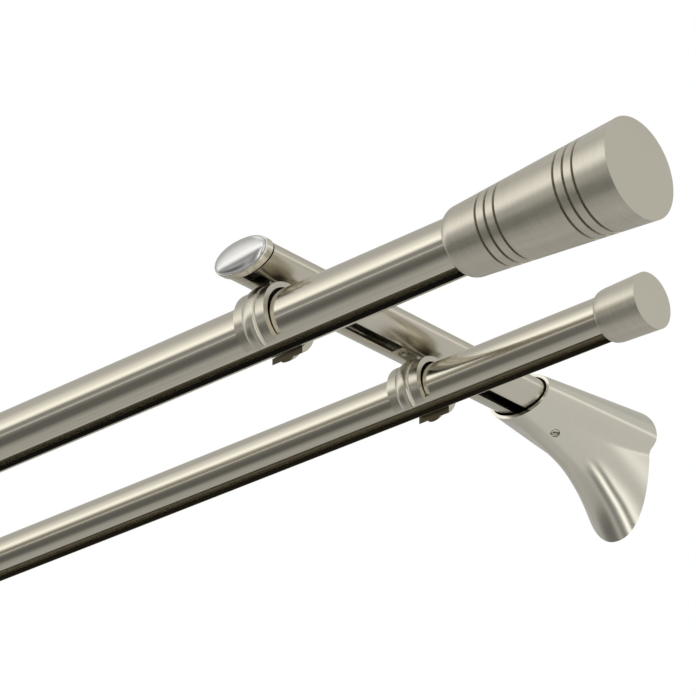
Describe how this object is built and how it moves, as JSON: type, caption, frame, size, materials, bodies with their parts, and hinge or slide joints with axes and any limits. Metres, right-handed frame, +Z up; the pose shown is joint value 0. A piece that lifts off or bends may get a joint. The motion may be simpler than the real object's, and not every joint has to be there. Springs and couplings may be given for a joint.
{
  "type": "double curtain rod with brackets",
  "caption": "Double curtain rod set: two slotted track rods in ring holders under oval arms on flared wall feet, with grooved conical finials.",
  "frame": {"origin": "middle of the right-hand wall plate, on the wall face", "axes": "+X along the rods towards the right-hand finial, +Y into the wall, +Z up"},
  "size_m": [1.338, 0.2539, 0.0651],
  "materials": {
    "brushed_nickel": "turned and length-brushed satin nickel",
    "satin_casting": "satin nickel plated casting, bead-blasted look",
    "polished_chrome": "polished mirror chrome",
    "zinc_plate": "zinc plated steel, matt",
    "screw_steel": "nickel plated screw steel"
  },
  "bodies": {
    "wall": {"wall_foot_right": "satin_casting", "wall_plate_right": "zinc_plate", "foot_lock_screw_right": "screw_steel", "wall_foot_left": "satin_casting", "wall_plate_left": "zinc_plate", "foot_lock_screw_left": "screw_steel"},
    "set_screw_right": {"arm_set_screw_right": "screw_steel"},
    "arm_right": {"arm_right": "brushed_nickel"},
    "arm_cap_right": {"arm_cap_right": "satin_casting", "cap_disc_right": "polished_chrome"},
    "front_holder_right": {"front_holder_right": "satin_casting", "front_clamp_screw_right": "screw_steel"},
    "rear_holder_right": {"rear_holder_right": "satin_casting", "rear_clamp_screw_right": "screw_steel"},
    "set_screw_left": {"arm_set_screw_left": "screw_steel"},
    "arm_left": {"arm_left": "brushed_nickel"},
    "arm_cap_left": {"arm_cap_left": "satin_casting", "cap_disc_left": "polished_chrome"},
    "front_holder_left": {"front_holder_left": "satin_casting", "front_clamp_screw_left": "screw_steel"},
    "rear_holder_left": {"rear_holder_left": "satin_casting", "rear_clamp_screw_left": "screw_steel"},
    "front_rod": {"front_rod": "brushed_nickel"},
    "rear_rod": {"rear_rod": "brushed_nickel"},
    "finial_right": {"finial_right": "brushed_nickel", "finial_screw_right": "screw_steel"},
    "end_cap_right": {"end_cap_right": "brushed_nickel", "end_cap_screw_right": "screw_steel"},
    "finial_left": {"finial_left": "brushed_nickel", "finial_screw_left": "screw_steel"},
    "end_cap_left": {"end_cap_left": "brushed_nickel", "end_cap_screw_left": "screw_steel"}
  },
  "joints": [
    {"name": "arm_right_projection", "type": "slide", "parent": "wall", "child": "arm_right", "axis": [0, 1, 0], "range_m": [-0.02, 0.004]},
    {"name": "arm_left_projection", "type": "slide", "parent": "wall", "child": "arm_left", "axis": [0, 1, 0], "range_m": [-0.02, 0.004]},
    {"name": "front_holder_right_slide", "type": "slide", "parent": "arm_right", "child": "front_holder_right", "axis": [0, 1, 0], "range_m": [-0.002, 0.04]},
    {"name": "front_holder_left_slide", "type": "slide", "parent": "arm_left", "child": "front_holder_left", "axis": [0, 1, 0], "range_m": [-0.002, 0.04]},
    {"name": "rear_holder_right_slide", "type": "slide", "parent": "arm_right", "child": "rear_holder_right", "axis": [0, 1, 0], "range_m": [-0.015, 0.035]},
    {"name": "rear_holder_left_slide", "type": "slide", "parent": "arm_left", "child": "rear_holder_left", "axis": [0, 1, 0], "range_m": [-0.015, 0.035]},
    {"name": "front_rod_slide", "type": "slide", "parent": "front_holder_right", "child": "front_rod", "axis": [1, 0, 0], "range_m": [-0.09, 0.09]},
    {"name": "rear_rod_slide", "type": "slide", "parent": "rear_holder_right", "child": "rear_rod", "axis": [1, 0, 0], "range_m": [-0.09, 0.09]},
    {"name": "finial_right_pull", "type": "slide", "parent": "front_rod", "child": "finial_right", "axis": [1, 0, 0], "range_m": [0, 0.025]},
    {"name": "end_cap_right_pull", "type": "slide", "parent": "rear_rod", "child": "end_cap_right", "axis": [1, 0, 0], "range_m": [0, 0.025]},
    {"name": "arm_cap_right_pull", "type": "slide", "parent": "arm_right", "child": "arm_cap_right", "axis": [0, -1, 0], "range_m": [0, 0.01]},
    {"name": "finial_left_pull", "type": "slide", "parent": "front_rod", "child": "finial_left", "axis": [-1, 0, 0], "range_m": [0, 0.025]},
    {"name": "end_cap_left_pull", "type": "slide", "parent": "rear_rod", "child": "end_cap_left", "axis": [-1, 0, 0], "range_m": [0, 0.025]},
    {"name": "arm_cap_left_pull", "type": "slide", "parent": "arm_left", "child": "arm_cap_left", "axis": [0, -1, 0], "range_m": [0, 0.01]},
    {"name": "set_screw_right_turn", "type": "hinge", "parent": "wall", "child": "set_screw_right", "pos_m": [0.0048, -0.05, 0.005], "axis": [0, 0, 1], "range_deg": [-720, 0]},
    {"name": "set_screw_left_turn", "type": "hinge", "parent": "wall", "child": "set_screw_left", "pos_m": [-0.9462, -0.05, 0.005], "axis": [0, 0, 1], "range_deg": [-720, 0]}
  ],
  "couplings": [
    {"joint": "arm_left_projection", "follows": "arm_right_projection", "ratio": 1},
    {"joint": "front_holder_left_slide", "follows": "front_holder_right_slide", "ratio": 1},
    {"joint": "rear_holder_left_slide", "follows": "rear_holder_right_slide", "ratio": 1}
  ]
}
